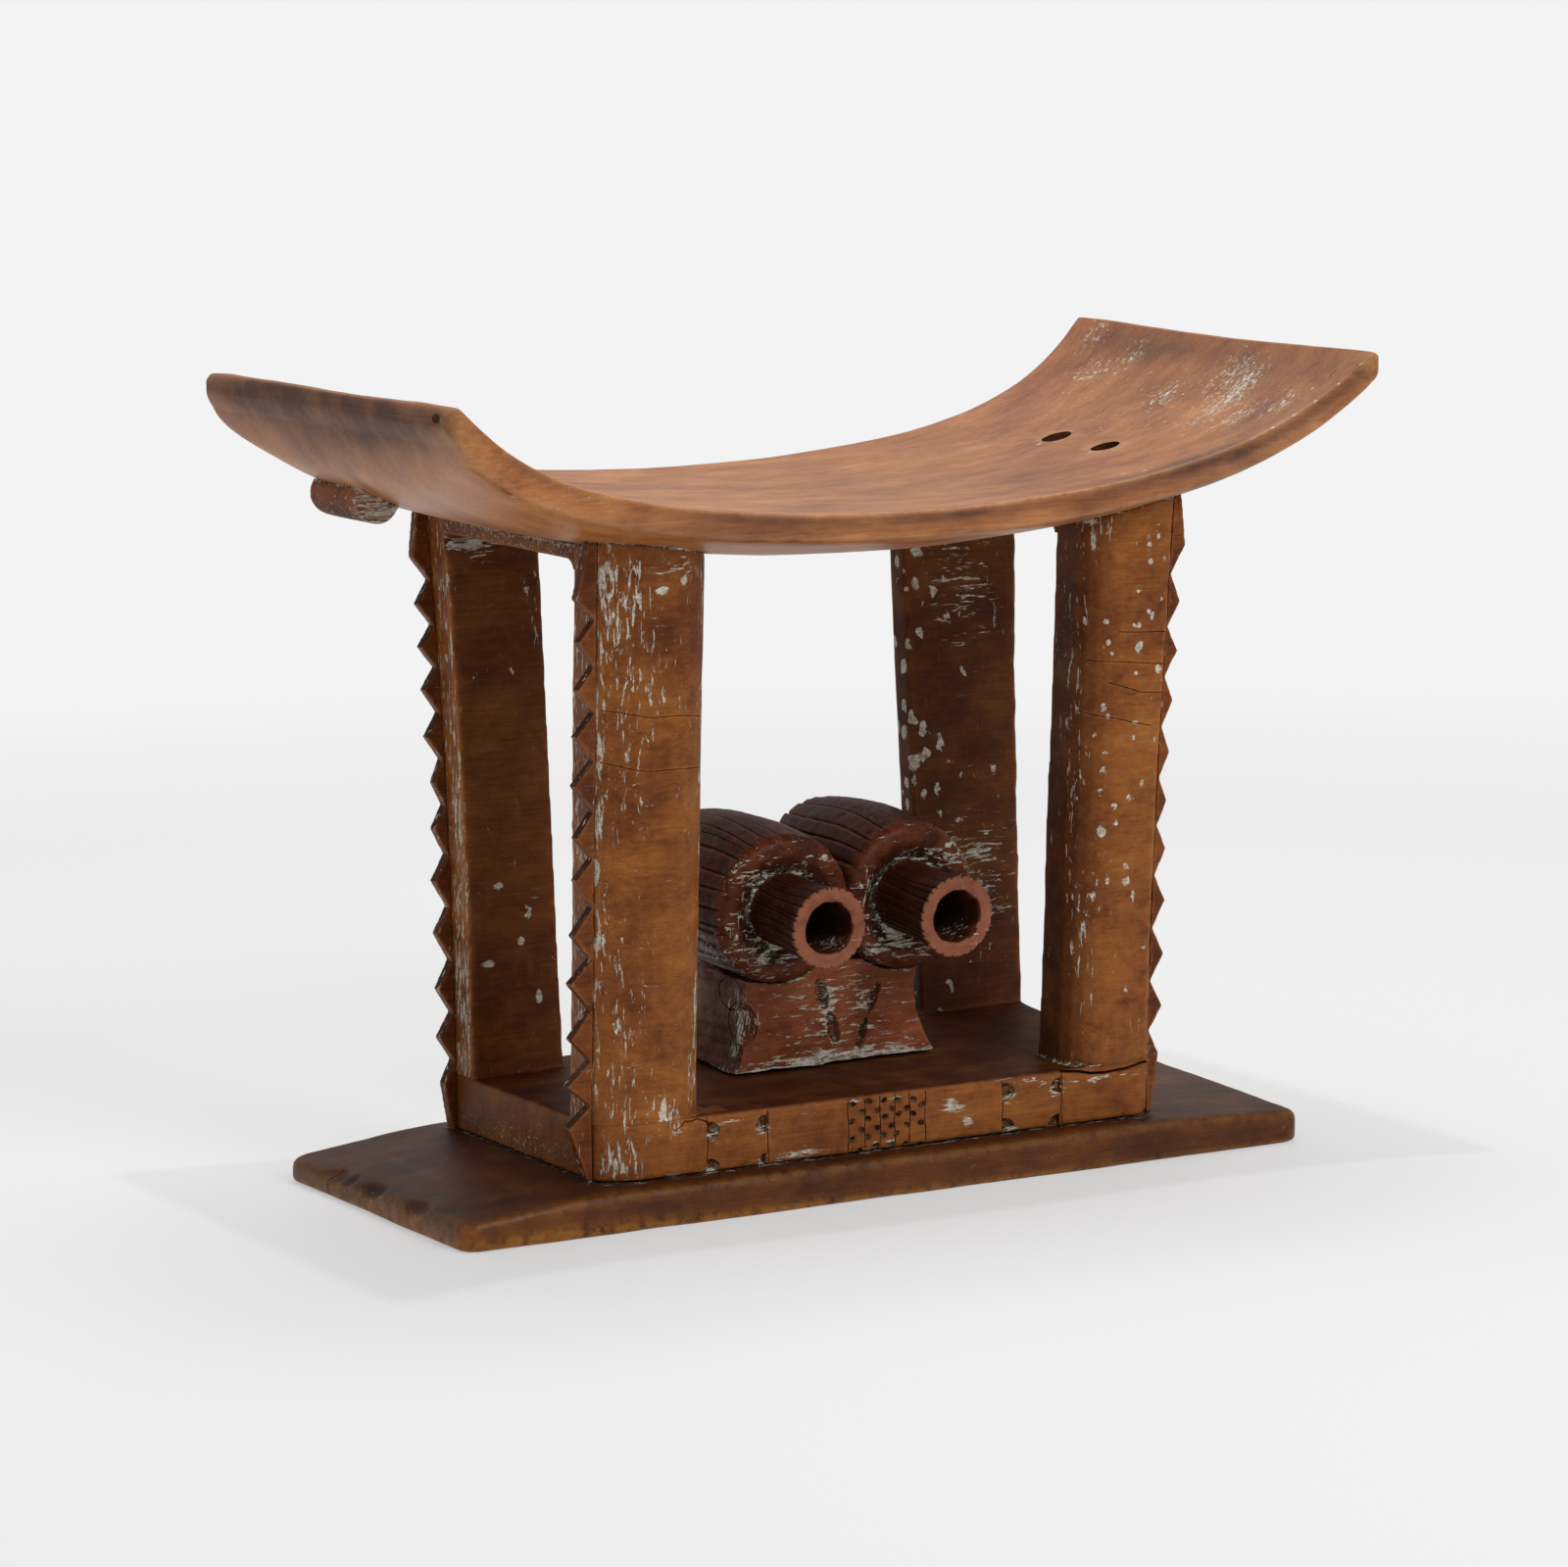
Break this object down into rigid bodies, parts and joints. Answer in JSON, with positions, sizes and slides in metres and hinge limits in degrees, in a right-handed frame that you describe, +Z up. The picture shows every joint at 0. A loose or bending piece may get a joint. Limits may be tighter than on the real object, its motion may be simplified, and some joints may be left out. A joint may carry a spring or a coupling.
{
  "type": "ashanti stool",
  "caption": "Carved low stool: an upswept saddle seat on splayed posts with toothed edges, over a plinth and a base board, with fluted drums lying on a waisted stand between the posts.",
  "frame": {"origin": "middle of the underside of the base board, on the floor under the middle of the seat", "axes": "+X along the seat to the end with the two cord holes, -Y towards the front with the punched plinth face, +Z up"},
  "size_m": [0.5428, 0.2862, 0.4237],
  "materials": {
    "base_wood": "worn dark polish",
    "frame_wood": "hand polished, pale scuffs",
    "seat_wood": "hand polished, worn",
    "fin_wood": "dark with pale residue",
    "stand_wood": "rough carved, pale residue",
    "drum_wood": "dark stain, fluted",
    "mouth_wood": "bare reddish wood at the mouth"
  },
  "bodies": {
    "root": {"base_board": "base_wood", "plinth": "frame_wood", "seat": "seat_wood", "seat_lug": "seat_wood", "rail_left": "frame_wood", "rail_right": "frame_wood", "post_front_left": "frame_wood", "post_front_right": "frame_wood", "post_back_left": "frame_wood", "post_back_right": "frame_wood", "fin_front_left": "fin_wood", "fin_front_right": "fin_wood", "fin_back_left": "fin_wood", "fin_back_right": "fin_wood", "drum_stand": "stand_wood", "drum_shell_left": "drum_wood", "drum_shell_right": "drum_wood", "drum_foot_left": "mouth_wood", "drum_foot_right": "mouth_wood"}
  },
  "joints": []
}
